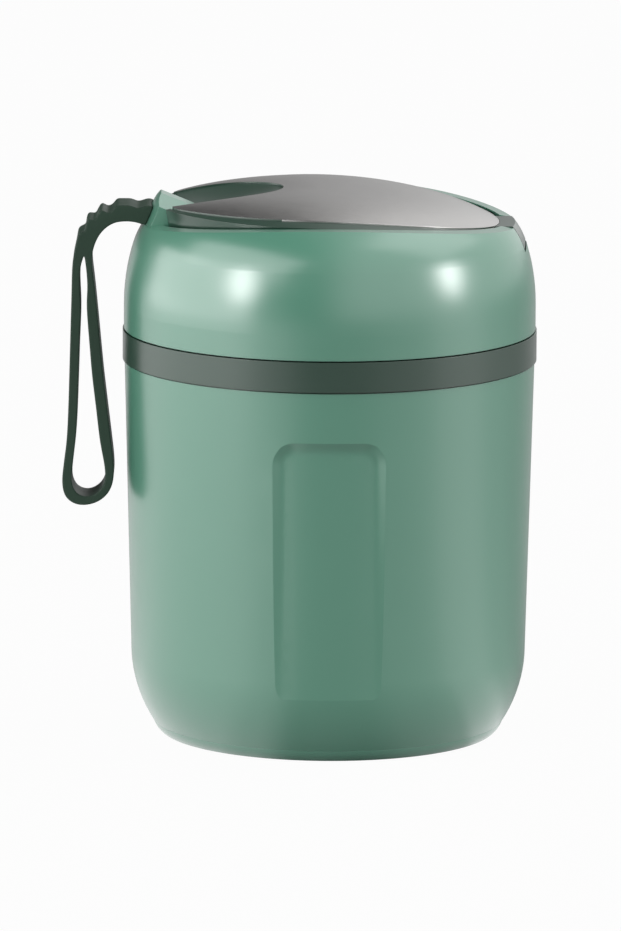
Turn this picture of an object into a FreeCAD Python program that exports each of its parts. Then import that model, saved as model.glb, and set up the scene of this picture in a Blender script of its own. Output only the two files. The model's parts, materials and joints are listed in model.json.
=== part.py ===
import FreeCAD, Part
import math
import os
import Sketcher

# Insulated food jar with a hinged flip cover on its screw lid and a moulded carry strap.
# Millimetres. +Z is up, the origin is on the jar's axis where it stands on the table,
# the recessed panel faces -Y, the strap is at -X and the flip cover's hinge is at +X.

doc = FreeCAD.newDocument("food_jar")
sheet = doc.addObject("Spreadsheet::Sheet", "Sizes")


class Size:
    """A length that knows its value and the sheet formula it comes from."""

    def __init__(self, formula, value):
        self.formula = formula
        self.value = value

    def __float__(self):
        return float(self.value)

    def __add__(self, other):
        return Size(f"({self.formula} + {formula_of(other)})", self.value + float(other))

    def __sub__(self, other):
        return Size(f"({self.formula} - {formula_of(other)})", self.value - float(other))

    def __mul__(self, other):
        return Size(f"({self.formula} * {formula_of(other)})", self.value * float(other))

    def __neg__(self):
        return Size(f"(0 - {self.formula})", -self.value)


def formula_of(number):
    return number.formula if isinstance(number, Size) else repr(float(number))


cell_count = 0


def cell(alias, value):
    """Writes one driving dimension into the sheet."""
    global cell_count
    cell_count += 1
    sheet.set(f"A{cell_count}", alias)
    sheet.set(f"B{cell_count}", str(value))
    sheet.setAlias(f"B{cell_count}", alias)
    return Size(f"Sizes.{alias}", value)


# Overall size of the jar
band_radius = cell("band_radius", 52.5)
shell_top = cell("shell_top", 95.6)

# Body: the shell, the foot under it and the collar band on top
band_reveal = cell("band_reveal", 0.5)
shell_taper = cell("shell_taper", 1.85)
foot_inset = cell("foot_inset", 5.55)
foot_roll = cell("foot_roll", 2.1)
pad_border = cell("pad_border", 6.5)
crease_height = cell("crease_height", 3.2)
shell_low_height = cell("shell_low_height", 22.0)
shell_round = cell("shell_round", 34.6)
shell_wall = cell("shell_wall", 2.0)
shell_fit = cell("shell_fit", 0.2)
band_gap = cell("band_gap", 0.35)
band_height = cell("band_height", 7.65)
band_lip = cell("band_lip", 2.0)
band_step = cell("band_step", 1.2)
pad_height = cell("pad_height", 1.6)
pad_proud = cell("pad_proud", 0.3)
pad_fit = cell("pad_fit", 0.1)
cap_plate = cell("cap_plate", 2.0)
foot_round = cell("foot_round", 6.0)

# Recessed panel on the front
recess_half_width = cell("recess_half_width", 15.3)
recess_drop = cell("recess_drop", 11.6)
recess_corner = cell("recess_corner", 7.0)
recess_slope = cell("recess_slope", 4.0)
recess_depth_low = cell("recess_depth_low", 0.3)
recess_depth_high = cell("recess_depth_high", 1.46)

# Vacuum flask
steel_wall = cell("steel_wall", 0.6)
jacket_gap = cell("jacket_gap", 0.95)
jacket_rest = cell("jacket_rest", 2.8)
jacket_bevel = cell("jacket_bevel", 8.0)
shoulder_drop = cell("shoulder_drop", 3.6)
neck_inset = cell("neck_inset", 3.2)
neck_rise = cell("neck_rise", 11.0)
vacuum_floor = cell("vacuum_floor", 4.0)
lip_width = cell("lip_width", 1.4)
pot_round = cell("pot_round", 8.4)
pot_bevel = cell("pot_bevel", 5.2)
neck_wall = cell("neck_wall", 2.5)
neck_drop = cell("neck_drop", 1.6)
gasket_fit = cell("gasket_fit", 0.3)
gasket_height = cell("gasket_height", 2.0)

# Stopper
stopper_gap = cell("stopper_gap", 0.15)
stopper_play = cell("stopper_play", 0.3)
seal_height = cell("seal_height", 1.65)
seal_bite = cell("seal_bite", 0.5)
seal_lip = cell("seal_lip", 0.5)
plug_gap = cell("plug_gap", 0.8)
plug_depth = cell("plug_depth", 9.0)
plug_wall = cell("plug_wall", 1.6)
plug_bevel = cell("plug_bevel", 1.2)
foam_fit = cell("foam_fit", 0.3)
flange_inset = cell("flange_inset", 0.4)
flange_height = cell("flange_height", 1.2)
stopper_cap_height = cell("stopper_cap_height", 1.1)

# Lid liner, which screws onto the neck and holds the stopper
lid_gap = cell("lid_gap", 0.3)
thread_gap = cell("thread_gap", 0.3)
liner_wall = cell("liner_wall", 1.1)
liner_ceiling = cell("liner_ceiling", 1.8)
liner_lift = cell("liner_lift", 0.4)
liner_foot_height = cell("liner_foot_height", 1.8)
liner_fit = cell("liner_fit", 0.1)
hook_reach = cell("hook_reach", 0.6)
hook_width = cell("hook_width", 12.0)
hook_height = cell("hook_height", 1.2)
hook_root = cell("hook_root", 0.6)

# Lid shell
lid_reveal = cell("lid_reveal", 0.3)
lid_wall = cell("lid_wall", 2.5)
lid_straight = cell("lid_straight", 6.5)
dome_inset = cell("dome_inset", 2.4)
dome_drop = cell("dome_drop", 4.5)
dome_round = cell("dome_round", 51.2)
crown_inset = cell("crown_inset", 10.0)
crown_rise = cell("crown_rise", 5.2)
crown_round = cell("crown_round", 17.4)
rim_rise = cell("rim_rise", 5.0)
rim_fall = cell("rim_fall", 0.002)
mouth_end_inset = cell("mouth_end_inset", 8.0)
mouth_side_inset = cell("mouth_side_inset", 13.4)

# Tray under the flip cover
tray_wall = cell("tray_wall", 1.6)
tray_height = cell("tray_height", 9.2)
tray_gap = cell("tray_gap", 0.5)
pan_end_border = cell("pan_end_border", 7.6)
pan_side_border = cell("pan_side_border", 4.6)
screw_radius = cell("screw_radius", 1.5)
screw_clear = cell("screw_clear", 1.6)
screw_head = cell("screw_head", 2.7)
screw_head_height = cell("screw_head_height", 1.3)
screw_length = cell("screw_length", 2.6)
screw_inset_x = cell("screw_inset_x", 10.6)
screw_inset_y = cell("screw_inset_y", 15.7)

# Flip cover
cover_lift = cell("cover_lift", 0.4)
cover_gap = cell("cover_gap", 1.5)
cover_draft = cell("cover_draft", 0.177)
cover_wall = cell("cover_wall", 2.0)
plate_end_border = cell("plate_end_border", 1.4)
plate_side_border = cell("plate_side_border", 3.5)
plate_edge_rise = cell("plate_edge_rise", 6.6)
plate_edge_fall = cell("plate_edge_fall", 0.00197)
plate_fall_start = cell("plate_fall_start", -10.0)
plate_crown = cell("plate_crown", 3.4)
plate_thickness = cell("plate_thickness", 0.7)
plate_proud = cell("plate_proud", 0.35)
plate_fit = cell("plate_fit", 0.1)
plate_glue = cell("plate_glue", 0.05)
scoop_long = cell("scoop_long", 18.6)
scoop_wide = cell("scoop_wide", 13.3)
scoop_inset = cell("scoop_inset", 12.3)
scoop_depth = cell("scoop_depth", 2.2)
scoop_dip = cell("scoop_dip", 1.6)
scoop_dip_share = cell("scoop_dip_share", 0.8)

# Hinge of the flip cover
hinge_inset = cell("hinge_inset", 8.2)
hinge_rise = cell("hinge_rise", 0.7)
hinge_top_rise = cell("hinge_top_rise", 1.1)
barrel_radius = cell("barrel_radius", 5.4)
barrel_half_width = cell("barrel_half_width", 8.5)
barrel_gap = cell("barrel_gap", 0.4)
arm_reach = cell("arm_reach", 8.0)
relief_radius = cell("relief_radius", 4.85)
pin_radius = cell("pin_radius", 1.0)
pin_play = cell("pin_play", 0.05)
cheek_width = cell("cheek_width", 4.0)
cheek_reach = cell("cheek_reach", 3.2)
cheek_drop = cell("cheek_drop", 3.6)

# Ear that holds the strap
ear_half_width = cell("ear_half_width", 11.4)
ear_neck_inset = cell("ear_neck_inset", 12.0)
ear_tip_inset = cell("ear_tip_inset", 17.9)
ear_tip_half_width = cell("ear_tip_half_width", 1.5)
ear_peak_inset = cell("ear_peak_inset", 9.4)
ear_rise = cell("ear_rise", 8.4)
ear_slope = cell("ear_slope", 0.4)
ear_flank = cell("ear_flank", 0.27)
ear_ridge = cell("ear_ridge", 2.6)
ear_under = cell("ear_under", 0.4)
ear_gap = cell("ear_gap", 0.4)
ear_foot_drop = cell("ear_foot_drop", 6.0)
ear_foot_inset = cell("ear_foot_inset", 2.5)
ear_shoulder_rise = cell("ear_shoulder_rise", 4.5)
ear_shoulder_inset = cell("ear_shoulder_inset", 6.9)
ear_round = cell("ear_round", 7.0)

# Strap
strap_width = cell("strap_width", 12.0)
strap_rise = cell("strap_rise", 3.2)
strap_bite = cell("strap_bite", 0.9)
strap_fit = cell("strap_fit", 0.1)
tongue_width = cell("tongue_width", 8.0)
tongue_height = cell("tongue_height", 2.8)
tongue_reach = cell("tongue_reach", 4.8)
tongue_overlap = cell("tongue_overlap", 2.5)
strap_pin_radius = cell("strap_pin_radius", 0.9)
strap_pin_half_length = cell("strap_pin_half_length", 8.5)
strap_pin_inset = cell("strap_pin_inset", 1.8)

# Folding spoon
spoon_sheet = cell("spoon_sheet", 1.0)
spoon_lift = cell("spoon_lift", 0.3)
spoon_play = cell("spoon_play", 0.1)
spoon_border = cell("spoon_border", 4.1)
spoon_bowl_long = cell("spoon_bowl_long", 23.5)
spoon_bowl_wide = cell("spoon_bowl_wide", 17.0)
spoon_bowl_depth = cell("spoon_bowl_depth", 4.6)
spoon_neck_width = cell("spoon_neck_width", 9.0)
spoon_neck_overlap = cell("spoon_neck_overlap", 4.0)
spoon_handle_width = cell("spoon_handle_width", 11.0)
spoon_handle_border = cell("spoon_handle_border", 5.6)
spoon_pivot_inset = cell("spoon_pivot_inset", 11.6)
rivet_radius = cell("rivet_radius", 1.5)
rivet_head = cell("rivet_head", 2.6)
rivet_head_height = cell("rivet_head_height", 0.6)
doc.recompute()

# Radii that follow from the overall radius, from the shell inwards
zero = Size("0", 0.0)
shell_top_radius = band_radius - band_reveal
shell_low_radius = shell_top_radius - shell_taper
crease_radius = shell_low_radius - foot_inset
foot_radius = crease_radius - foot_roll
pad_radius = foot_radius - pad_border
jacket_radius = shell_low_radius - shell_wall - jacket_gap
mouth_radius = jacket_radius - neck_inset
pot_radius = mouth_radius - lip_width
neck_bore = mouth_radius + gasket_fit
neck_radius = neck_bore + neck_wall
plug_radius = pot_radius - steel_wall - plug_gap
flange_radius = neck_radius - flange_inset
thread_bore = neck_radius + thread_gap
liner_radius = thread_bore + liner_wall
lid_radius = band_radius - lid_reveal
dome_radius = lid_radius - dome_inset
crown_radius = lid_radius - crown_inset

# Levels that follow from the shell's top, upwards
jacket_bottom = crease_height + cap_plate + jacket_rest
jacket_shoulder = shell_top - shoulder_drop
pot_bottom = jacket_bottom + vacuum_floor
recess_top = shell_top - recess_drop
band_bottom = shell_top + band_gap
band_top = band_bottom + band_height
mouth_height = band_top + neck_rise
neck_height = mouth_height - neck_drop
lid_bottom = band_top + lid_gap
seal_bottom = mouth_height + stopper_gap
flange_bottom = seal_bottom + seal_height
flange_top = flange_bottom + flange_height
stopper_top = flange_top + stopper_cap_height
stopper_floor = seal_bottom - plug_depth
ceiling_bottom = stopper_top + liner_lift
ceiling_top = ceiling_bottom + liner_ceiling
tray_floor = ceiling_top + tray_wall
deck_top = ceiling_top + tray_height
cover_bottom = deck_top + cover_lift
plate_edge_level = deck_top + plate_edge_rise
hinge_level = ceiling_top + hinge_rise + barrel_radius
hinge_top = deck_top + hinge_top_rise
dome_level = deck_top - dome_drop
crown_level = deck_top + crown_rise
above_all = crown_level + crown_rise + crown_rise

# Plan sizes of the lid's mouth and of what lies in it
mouth_long = lid_radius - mouth_end_inset
mouth_wide = lid_radius - mouth_side_inset
pan_long = mouth_long - pan_end_border
pan_wide = mouth_wide - pan_side_border
screw_place_x = pan_long - screw_inset_x
screw_place_y = pan_wide - screw_inset_y
plate_long = mouth_long - plate_end_border
plate_wide = mouth_wide - plate_side_border
cover_long = mouth_long - cover_gap
cover_wide = mouth_wide - cover_gap
scoop_centre = scoop_inset - plate_long
hinge_reach = lid_radius - hinge_inset
cheek_room = barrel_half_width + barrel_gap
pin_half_length = cheek_room + cheek_width - pin_radius * 0.5

# Places of the ear, the strap and the spoon
ear_neck = ear_neck_inset - lid_radius
ear_tip = ear_tip_inset - lid_radius
ear_peak = ear_peak_inset - lid_radius
ear_top = deck_top + ear_rise
ear_foot_level = deck_top - ear_foot_drop
ear_foot_radius = lid_radius - ear_foot_inset
ear_shoulder_level = deck_top + ear_shoulder_rise
ear_shoulder_radius = lid_radius - ear_shoulder_inset
strap_level = deck_top + strap_rise
strap_root = strap_bite - ear_shoulder_radius
tongue_end = strap_root + tongue_reach
strap_pin_place = strap_root + strap_pin_inset
spoon_bowl_centre = pan_long - spoon_border - spoon_bowl_long
spoon_handle_end = pan_long - spoon_handle_border
spoon_pivot = spoon_pivot_inset - pan_long


def plane_of(body, role):
    return next(f for f in body.Origin.OriginFeatures if f.Role == role)


def circle_middle(start, end, radius, side):
    """Point halfway along the arc from start to end that bulges to the given side."""
    chord = (end[0] - start[0], end[1] - start[1])
    length = math.hypot(*chord)
    rise = radius - math.sqrt(radius * radius - length * length / 4)
    across = (chord[1] / length * side, -chord[0] / length * side)
    return (
        (start[0] + end[0]) / 2 + across[0] * rise,
        (start[1] + end[1]) / 2 + across[1] * rise,
    )


def draw_outline(sketch, corners):
    """Draws a closed outline. Each corner is (across, up), or (across, up, radius, side)
    when the edge that leaves it is an arc. Every corner and radius is bound to the sheet."""
    count = len(corners)
    for index in range(count):
        corner = corners[index]
        after = corners[(index + 1) % count]
        start = (float(corner[0]), float(corner[1]))
        end = (float(after[0]), float(after[1]))
        first = FreeCAD.Vector(*start, 0)
        last = FreeCAD.Vector(*end, 0)
        if len(corner) == 2:
            sketch.addGeometry(Part.LineSegment(first, last), False)
        else:
            middle = circle_middle(start, end, float(corner[2]), corner[3])
            arc = Part.Arc(first, FreeCAD.Vector(*middle, 0), last)
            sketch.addGeometry(arc, False)
    ends = []
    for index in range(count):
        first = FreeCAD.Vector(float(corners[index][0]), float(corners[index][1]), 0)
        is_forward = sketch.getPoint(index, 1).distanceToPoint(first) < 1e-6
        ends.append((1, 2) if is_forward else (2, 1))
    for index in range(count):
        after = (index + 1) % count
        joint = Sketcher.Constraint(
            "Coincident", index, ends[index][1], after, ends[after][0]
        )
        sketch.addConstraint(joint)
    for index in range(count):
        corner = corners[index]
        place = (index, ends[index][0])
        bind_corner(sketch, place, "DistanceX", corner[0], -2)
        bind_corner(sketch, place, "DistanceY", corner[1], -1)
        if len(corner) > 2:
            radius = Sketcher.Constraint("Radius", index, float(corner[2]))
            number = sketch.addConstraint(radius)
            sketch.setExpression(f"Constraints[{number}]", corner[2].formula)


def bind_corner(sketch, place, kind, size, axis):
    if abs(float(size)) < 1e-9:
        sketch.addConstraint(Sketcher.Constraint("PointOnObject", *place, axis))
        return
    if float(size) > 0:
        constraint = Sketcher.Constraint(kind, -1, 1, *place, float(size))
        formula = size.formula
    else:
        constraint = Sketcher.Constraint(kind, *place, -1, 1, -float(size))
        formula = (-size).formula
    number = sketch.addConstraint(constraint)
    sketch.setExpression(f"Constraints[{number}]", formula)


def add_sketch(body, name, role, corners):
    sketch = body.newObject("Sketcher::SketchObject", name)
    sketch.AttachmentSupport = (plane_of(body, role), [""])
    sketch.MapMode = "FlatFace"
    draw_outline(sketch, corners)
    return sketch


def turned(name, corners):
    """A body turned about the jar's axis from an outline of (radius, height) corners."""
    body = doc.addObject("PartDesign::Body", name)
    sketch = add_sketch(body, name + "_outline", "XZ_Plane", corners)
    turn = body.newObject("PartDesign::Revolution", name + "_turn")
    turn.Profile = sketch
    turn.ReferenceAxis = (sketch, ["V_Axis"])
    turn.Angle = 360.0
    sketch.Visibility = False
    body.Tip = turn
    doc.recompute()
    return body


def placed(obj, x=zero, y=zero, z=zero):
    for axis, size in (("x", x), ("y", y), ("z", z)):
        obj.setExpression(f".Placement.Base.{axis}", size.formula)
    return obj


def block(name, low, high):
    """An axis-aligned box from its low corner to its high corner."""
    box = doc.addObject("Part::Box", name)
    for axis, first, last in zip(("Length", "Width", "Height"), low, high):
        box.setExpression(axis, (last - first).formula)
    return placed(box, *low)


def rod(name, radius, half_length, x, z):
    """A cylinder along Y, centred on Y = 0."""
    cylinder = doc.addObject("Part::Cylinder", name)
    cylinder.setExpression("Radius", radius.formula)
    cylinder.setExpression("Height", (half_length * 2).formula)
    turn = FreeCAD.Rotation(FreeCAD.Vector(1, 0, 0), -90)
    cylinder.Placement = FreeCAD.Placement(FreeCAD.Vector(), turn)
    return placed(cylinder, x, -half_length, z)


def disc(name, radius, x, y, bottom, height):
    cylinder = doc.addObject("Part::Cylinder", name)
    cylinder.setExpression("Radius", radius.formula)
    cylinder.setExpression("Height", height.formula)
    return placed(cylinder, x, y, bottom)


def oval(name, long, wide, bottom, top, centre=zero):
    """An upright prism with an elliptical plan."""
    is_long_x = float(long) >= float(wide)
    outline = doc.addObject("Part::Ellipse", name + "_plan")
    outline.setExpression("MajorRadius", (long if is_long_x else wide).formula)
    outline.setExpression("MinorRadius", (wide if is_long_x else long).formula)
    if not is_long_x:
        turn = FreeCAD.Rotation(FreeCAD.Vector(0, 0, 1), 90)
        outline.Placement = FreeCAD.Placement(FreeCAD.Vector(), turn)
    placed(outline, centre, zero, bottom)
    prism = doc.addObject("Part::Extrusion", name)
    prism.Base = outline
    prism.DirMode = "Custom"
    prism.Dir = FreeCAD.Vector(0, 0, 1)
    prism.Solid = True
    prism.setExpression("LengthFwd", (top - bottom).formula)
    return prism


def drafted_oval(name, long, wide, bottom, top, spread):
    """An upright oval block whose sides lean out by spread on the way to its top."""
    sections = []
    for level, grow, part in ((bottom, 0.0, "low"), (top, spread, "high")):
        outline = doc.addObject("Part::Ellipse", f"{name}_{part}")
        outline.setExpression("MajorRadius", (long + grow).formula)
        outline.setExpression("MinorRadius", (wide + grow).formula)
        sections.append(placed(outline, z=level))
    loft = doc.addObject("Part::Loft", name)
    loft.Sections = sections
    loft.Solid = True
    loft.Ruled = True
    return loft


def cut(name, base, *tools):
    tool = tools[0] if len(tools) == 1 else joined(name + "_tools", *tools)
    result = doc.addObject("Part::Cut", name)
    result.Base = base
    result.Tool = tool
    return result


def joined(name, *shapes):
    result = doc.addObject("Part::MultiFuse", name)
    result.Shapes = list(shapes)
    result.Refine = True
    return result


def shared(name, first, second):
    result = doc.addObject("Part::Common", name)
    result.Base = first
    result.Tool = second
    return result


def fixed_shape(name, shape):
    feature = doc.addObject("Part::Feature", name)
    feature.Shape = shape
    return feature


def height_field(height_at, half_x, half_y, steps):
    """A smooth face through the heights that the function gives over a rectangle."""
    grid = []
    for i in range(steps + 1):
        x = half_x * (2 * i / steps - 1)
        row = []
        for j in range(steps + 1):
            y = half_y * (2 * j / steps - 1)
            row.append(FreeCAD.Vector(x, y, height_at(x, y)))
        grid.append(row)
    surface = Part.BSplineSurface()
    surface.interpolate(grid)
    return surface.toShape()


def plate_height(x, y):
    """Height of the flip cover's top skin: a flat crown, round shoulders, a fall towards
    the hinge and a shallow dip round the finger scoop."""
    past = max(0.0, x - float(plate_fall_start))
    edge = float(plate_edge_level) - float(plate_edge_fall) * past * past
    reach = (x / float(plate_long)) ** 2 + (y / float(plate_wide)) ** 2
    along = (x - float(scoop_centre)) / (float(scoop_long) * float(scoop_dip_share))
    across = y / float(scoop_wide)
    dip = float(scoop_dip) * math.exp(-along * along - across * across)
    return edge + float(plate_crown) * (1 - reach * reach) - dip


def scoop_height(x, y):
    """Height of the scoop's dished floor."""
    along = (x - float(scoop_centre)) / float(scoop_long)
    across = y / float(scoop_wide)
    dish = float(scoop_depth) * (1 - along * along - across * across)
    return plate_height(x, y) - float(plate_proud) - dish


SKIN_STEPS = 16
SKIN_DEPTH = 30.0


def skin_block(name, height_at, drop, depth):
    """A solid between the height function, lowered by drop, and the same surface moved
    up by depth, or down where depth is negative."""
    face = height_field(
        lambda x, y: height_at(x, y) - drop, float(lid_radius), float(lid_radius), SKIN_STEPS
    )
    return fixed_shape(name, face.extrude(FreeCAD.Vector(0, 0, depth)))


def make_base_pad():
    corners = [
        (zero, zero),
        (pad_radius, zero),
        (pad_radius, pad_height),
        (zero, pad_height),
    ]
    return turned("base_pad", corners)


def make_base_cap():
    """The foot: its rim carries the shell, and a plug on top fits inside the shell."""
    plug = crease_radius - shell_wall - shell_fit
    corners = [
        (zero, pad_height),
        (pad_radius + pad_fit, pad_height),
        (pad_radius + pad_fit, pad_proud),
        (foot_radius, pad_proud, foot_round, 1),
        (crease_radius, crease_height),
        (plug, crease_height),
        (plug, crease_height + cap_plate),
        (plug - cap_plate, crease_height + cap_plate),
        (plug - cap_plate, pad_height + cap_plate),
        (zero, pad_height + cap_plate),
    ]
    return turned("base_cap", corners)


def make_shell_blank():
    """The moulded shell before its panel is pressed in."""
    bore_low = crease_radius - shell_wall
    corners = [
        (bore_low, crease_height),
        (crease_radius, crease_height, shell_round, 1),
        (shell_low_radius, shell_low_height),
        (shell_top_radius, shell_top),
        (shell_top_radius - shell_wall, shell_top),
        (shell_low_radius - shell_wall, shell_low_height, shell_round - shell_wall, -1),
    ]
    return turned("shell_blank", corners)


def rounded_frame_distance(x, z):
    """Distance outside (plus) or inside (minus) the panel's arch-topped outline."""
    corner = float(recess_corner)
    over_x = abs(x) - (float(recess_half_width) - corner)
    over_z = z - (float(recess_top) - corner)
    outside = math.hypot(max(over_x, 0.0), max(over_z, 0.0))
    return outside + min(max(over_x, over_z), 0.0) - corner


PANEL_OUTWARD = 0.3
PANEL_COLUMNS = 32
PANEL_ROWS = 32


def panel_point(x, z):
    """Point on the pressed panel's surface, or just outside the shell beyond it."""
    low = float(shell_low_height)
    rise = (z - low) / (float(shell_top) - low)
    wall = float(shell_low_radius) + rise * float(shell_taper)
    depth_rise = (z - low) / (float(recess_top) - low)
    depth_gain = float(recess_depth_high) - float(recess_depth_low)
    depth = float(recess_depth_low) + depth_rise * depth_gain
    inward = min(max(-rounded_frame_distance(x, z) / float(recess_slope), 0.0), 1.0)
    blend = inward * inward * (3 - 2 * inward)
    radius = wall + PANEL_OUTWARD - (depth + PANEL_OUTWARD) * blend
    return FreeCAD.Vector(x, -math.sqrt(radius * radius - x * x), z)


def make_outer_shell():
    """The shell with its arch-topped panel, which fades out where the foot rounds in."""
    grid = []
    side = float(recess_half_width) + 2 * float(recess_slope)
    bottom = 2 * float(recess_slope)
    top = float(recess_top) + float(recess_slope)
    for i in range(PANEL_COLUMNS + 1):
        x = side * (2 * i / PANEL_COLUMNS - 1)
        column = []
        for j in range(PANEL_ROWS + 1):
            z = bottom + (top - bottom) * j / PANEL_ROWS
            column.append(panel_point(x, z))
        grid.append(column)
    surface = Part.BSplineSurface()
    surface.interpolate(grid)
    outwards = FreeCAD.Vector(0, -float(band_radius) / 2, 0)
    press = fixed_shape("panel_press", surface.toShape().extrude(outwards))
    return cut("outer_shell", make_shell_blank(), press)


def make_neck_ring():
    """The collar band and the threaded neck, one moulding."""
    bore = neck_bore
    corners = [
        (bore, band_bottom),
        (shell_top_radius - band_lip, band_bottom),
        (shell_top_radius - band_lip, band_bottom - band_gap),
        (band_radius - band_step, band_bottom - band_gap),
        (band_radius - band_step, band_bottom),
        (band_radius, band_bottom),
        (band_radius, band_top),
        (neck_radius, band_top),
        (neck_radius, neck_height),
        (bore, neck_height),
    ]
    return turned("neck_ring", corners)


def make_neck_gasket():
    """Ring that centres the flask's neck in the neck ring."""
    bottom = band_bottom + gasket_fit
    corners = [
        (mouth_radius, bottom),
        (neck_bore, bottom),
        (neck_bore, bottom + gasket_height),
        (mouth_radius, bottom + gasket_height),
    ]
    return turned("neck_gasket", corners)


def make_vacuum_jacket():
    """Outer steel wall: a can with a bevelled foot and a shoulder up to the mouth."""
    inner = jacket_radius - steel_wall
    throat = mouth_radius - steel_wall
    shoulder_top = jacket_shoulder + (jacket_radius - mouth_radius)
    corners = [
        (zero, jacket_bottom),
        (jacket_radius - jacket_bevel, jacket_bottom),
        (jacket_radius, jacket_bottom + jacket_bevel),
        (jacket_radius, jacket_shoulder),
        (mouth_radius, shoulder_top),
        (mouth_radius, mouth_height),
        (throat, mouth_height),
        (throat, shoulder_top),
        (inner, jacket_shoulder),
        (inner, jacket_bottom + jacket_bevel),
        (jacket_radius - jacket_bevel, jacket_bottom + steel_wall),
        (zero, jacket_bottom + steel_wall),
    ]
    return turned("vacuum_jacket", corners)


def make_inner_pot():
    """Inner steel wall, round inside at its foot. Its lip meets the jacket's throat."""
    inner = pot_radius - steel_wall
    throat = mouth_radius - steel_wall
    lip_bottom = mouth_height - steel_wall
    floor = pot_bottom + steel_wall
    corners = [
        (zero, pot_bottom),
        (pot_radius - pot_bevel, pot_bottom),
        (pot_radius, pot_bottom + pot_bevel),
        (pot_radius, lip_bottom),
        (throat, lip_bottom),
        (throat, mouth_height),
        (inner, mouth_height),
        (inner, floor + pot_round, pot_round, -1),
        (inner - pot_round, floor),
        (zero, floor),
    ]
    return turned("inner_pot", corners)


def make_stopper_cup():
    floor = stopper_floor
    bore = plug_radius - plug_wall
    corners = [
        (zero, floor),
        (plug_radius - plug_bevel, floor),
        (plug_radius, floor + plug_bevel),
        (plug_radius, flange_bottom),
        (flange_radius, flange_bottom),
        (flange_radius, flange_top),
        (bore, flange_top),
        (bore, floor + plug_wall),
        (zero, floor + plug_wall),
    ]
    return turned("stopper_cup", corners)


def make_stopper_foam():
    floor = stopper_floor + plug_wall + foam_fit
    radius = plug_radius - plug_wall - foam_fit
    corners = [
        (zero, floor),
        (radius, floor),
        (radius, flange_top - foam_fit),
        (zero, flange_top - foam_fit),
    ]
    return turned("stopper_foam", corners)


def make_stopper_cap():
    corners = [
        (zero, flange_top),
        (flange_radius - foam_fit, flange_top),
        (flange_radius - foam_fit, stopper_top),
        (zero, stopper_top),
    ]
    return turned("stopper_cap", corners)


def make_stopper_seal():
    outer = mouth_radius + seal_bite
    inner = plug_radius + foam_fit
    corners = [
        (inner, seal_bottom + seal_lip),
        (inner + seal_lip, seal_bottom),
        (outer - seal_lip, seal_bottom),
        (outer, seal_bottom + seal_lip),
        (outer, flange_bottom),
        (inner, flange_bottom),
    ]
    return turned("stopper_seal", corners)


def make_lid_liner():
    """Threaded skirt and ceiling, with three hooks that keep the stopper captive."""
    bore = thread_bore
    foot = lid_bottom + lid_gap
    reach = lid_radius - lid_wall - liner_fit
    corners = [
        (bore, foot),
        (reach, foot),
        (reach, foot + liner_foot_height),
        (liner_radius, foot + liner_foot_height),
        (liner_radius, ceiling_top),
        (zero, ceiling_top),
        (zero, ceiling_bottom),
        (bore, ceiling_bottom),
    ]
    skirt = turned("liner_skirt", corners)
    hook_top = flange_bottom - stopper_play
    hook_corners = [
        (flange_radius - hook_reach, hook_top - hook_height),
        (bore + hook_root, hook_top - hook_height),
        (bore + hook_root, hook_top),
        (flange_radius - hook_reach, hook_top),
    ]
    ring = turned("liner_hook_ring", hook_corners)
    hooks = [skirt]
    for index in range(3):
        sector = block(
            f"hook_sector_{index}",
            (zero, -(hook_width * 0.5), hook_top - hook_height),
            (liner_radius, hook_width * 0.5, hook_top),
        )
        turn = FreeCAD.Rotation(FreeCAD.Vector(0, 0, 1), 120 * index)
        tool = doc.addObject("Part::Compound", f"hook_window_{index}")
        tool.Links = [sector]
        tool.Placement = FreeCAD.Placement(FreeCAD.Vector(), turn)
        hooks.append(shared(f"liner_hook_{index}", ring, tool))
    body = joined("liner_body", *hooks)
    return cut("lid_liner", body, *screw_holes("liner_hole", screw_radius))


SCREW_CORNERS = ((1, 1), (-1, 1), (-1, -1), (1, -1))


def screw_holes(name, radius):
    """Upright holes at the four screws, from the liner's ceiling to the tray's floor."""
    holes = []
    bottom = tray_floor - screw_length
    height = screw_length + screw_head_height
    for index, (way_x, way_y) in enumerate(SCREW_CORNERS):
        place = (screw_place_x * way_x, screw_place_y * way_y)
        holes.append(disc(f"{name}_{index}", radius, *place, bottom, height))
    return holes


def make_tray_screws():
    screws = []
    for index, (way_x, way_y) in enumerate(SCREW_CORNERS):
        place = (screw_place_x * way_x, screw_place_y * way_y)
        shank = disc(
            f"screw_shank_{index}", screw_radius, *place,
            tray_floor - screw_length, screw_length,
        )
        head = disc(
            f"screw_head_{index}", screw_head, *place, tray_floor, screw_head_height
        )
        screws.append(joined(f"screw_{index}", shank, head))
    group = doc.addObject("Part::Compound", "tray_screws")
    group.Links = screws
    return group


# Outward directions of the dome's surface at its two upper corners, as (across, up)
DOME_OUTWARD = (0.95, 0.3)
CROWN_OUTWARD = (0.66, 0.75)


def dome_corners(shrink, floor):
    """Outline of the lid's dome, moved inwards by shrink, from a level up to its crown."""
    dome_across, dome_up = DOME_OUTWARD
    crown_across, crown_up = CROWN_OUTWARD
    crown = crown_level - shrink * crown_up
    return [
        (zero, floor),
        (lid_radius - shrink, floor),
        (lid_radius - shrink, band_top + lid_straight, dome_round - shrink, 1),
        (dome_radius - shrink * dome_across, dome_level - shrink * dome_up,
         crown_round - shrink, 1),
        (crown_radius - shrink * crown_across, crown),
        (zero, crown),
    ]


def make_dome_outside():
    """The lid's outer form, which its cheeks and the flip cover's lug are cut to."""
    return turned("dome_outside", dome_corners(zero, lid_bottom))


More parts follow.
